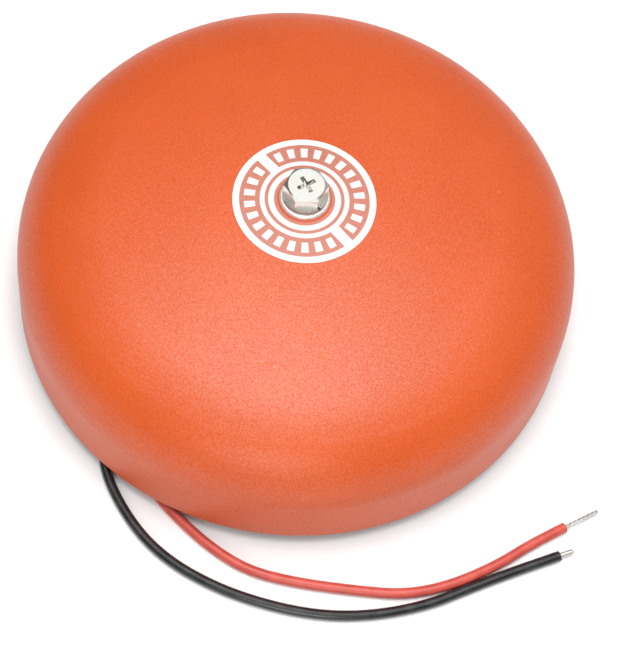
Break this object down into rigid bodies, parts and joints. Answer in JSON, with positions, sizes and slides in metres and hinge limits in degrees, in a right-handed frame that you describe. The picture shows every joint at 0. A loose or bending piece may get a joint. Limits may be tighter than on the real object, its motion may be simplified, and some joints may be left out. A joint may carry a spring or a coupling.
{
  "type": "fire alarm bell",
  "caption": "Motor-driven wall bell: domed red gong on a centre screw over a steel base plate, with flung hammers and two bare-ended leads.",
  "frame": {"origin": "centre of the base plate's rear face, on the gong's axis", "axes": "+Z out of the wall through the gong screw; -Y is the side where the two leads come out; +X is the side where the hammers strike"},
  "size_m": [0.1643, 0.1694, 0.0558],
  "materials": {
    "red_paint": "matt powder coat",
    "label_print": "gloss film, red and white rings",
    "nickel_steel": "nickel plated",
    "zinc_steel": "zinc plated",
    "hammer_steel": "ground steel",
    "black_rubber": "matt",
    "white_nylon": "moulded nylon",
    "black_plastic": "moulded",
    "brass": "turned",
    "copper": "copper, enamelled",
    "magnet": "sintered ferrite or lacquered steel laminations",
    "carbon": "pressed carbon",
    "board": "glass fibre board",
    "ceramic": "dipped ceramic",
    "red_insulation": "soft insulation",
    "black_insulation": "soft insulation",
    "tinned_copper": "tinned strands"
  },
  "bodies": {
    "bell": {"gong": "red_paint", "gong_label": "label_print", "gong_flat_washer": "nickel_steel", "gong_spring_washer": "nickel_steel", "gong_screw": "nickel_steel", "gong_isolating_washer": "black_rubber", "gong_post": "zinc_steel", "base_plate": "zinc_steel", "wheel_thrust_washer": "brass", "wheel_axle_pin": "hammer_steel", "motor_bridge": "zinc_steel", "bridge_screws": "nickel_steel", "motor_can": "nickel_steel", "motor_end_cap": "black_plastic", "motor_bushes": "brass", "motor_magnets": "magnet", "motor_brushes": "carbon", "motor_terminals": "brass", "motor_screws": "nickel_steel", "suppressor_board": "board", "suppressor_capacitor": "ceramic", "polarity_diode": "black_plastic", "terminal_block": "white_nylon", "terminal_clamps": "brass", "terminal_screws": "nickel_steel", "terminal_block_screw": "nickel_steel", "lead_grommets": "black_rubber", "red_tail": "red_insulation", "black_tail": "black_insulation", "red_jumper": "red_insulation", "black_jumper": "black_insulation", "red_lead": "red_insulation", "black_lead": "black_insulation", "red_lead_strands": "tinned_copper", "black_lead_tip": "tinned_copper"},
    "striker_wheel": {"hammer_wheel": "white_nylon", "hammer_pins": "hammer_steel", "hammer_pin_clips": "hammer_steel"},
    "motor_rotor": {"motor_shaft": "hammer_steel", "motor_pinion": "brass", "rotor_core": "magnet", "rotor_windings": "copper", "commutator": "copper"},
    "hammer_one": {"hammer_a": "hammer_steel"},
    "hammer_two": {"hammer_b": "hammer_steel"}
  },
  "joints": [
    {"name": "wheel_spin", "type": "hinge", "parent": "bell", "child": "striker_wheel", "pos_m": [0.047, 0, 0.01], "axis": [0, 0, 1], "continuous": true},
    {"name": "motor_spin", "type": "hinge", "parent": "bell", "child": "motor_rotor", "pos_m": [0.032, 0, 0.02], "axis": [0, 0, 1], "continuous": true},
    {"name": "hammer_one_swing", "type": "hinge", "parent": "striker_wheel", "child": "hammer_one", "pos_m": [0.0565, 0, 0.0075], "axis": [0, 0, -1], "range_deg": [0, 120]},
    {"name": "hammer_two_swing", "type": "hinge", "parent": "striker_wheel", "child": "hammer_two", "pos_m": [0.0375, 0, 0.0075], "axis": [0, 0, -1], "range_deg": [0, 120]}
  ],
  "couplings": [
    {"joint": "motor_spin", "follows": "wheel_spin", "ratio": -4}
  ]
}
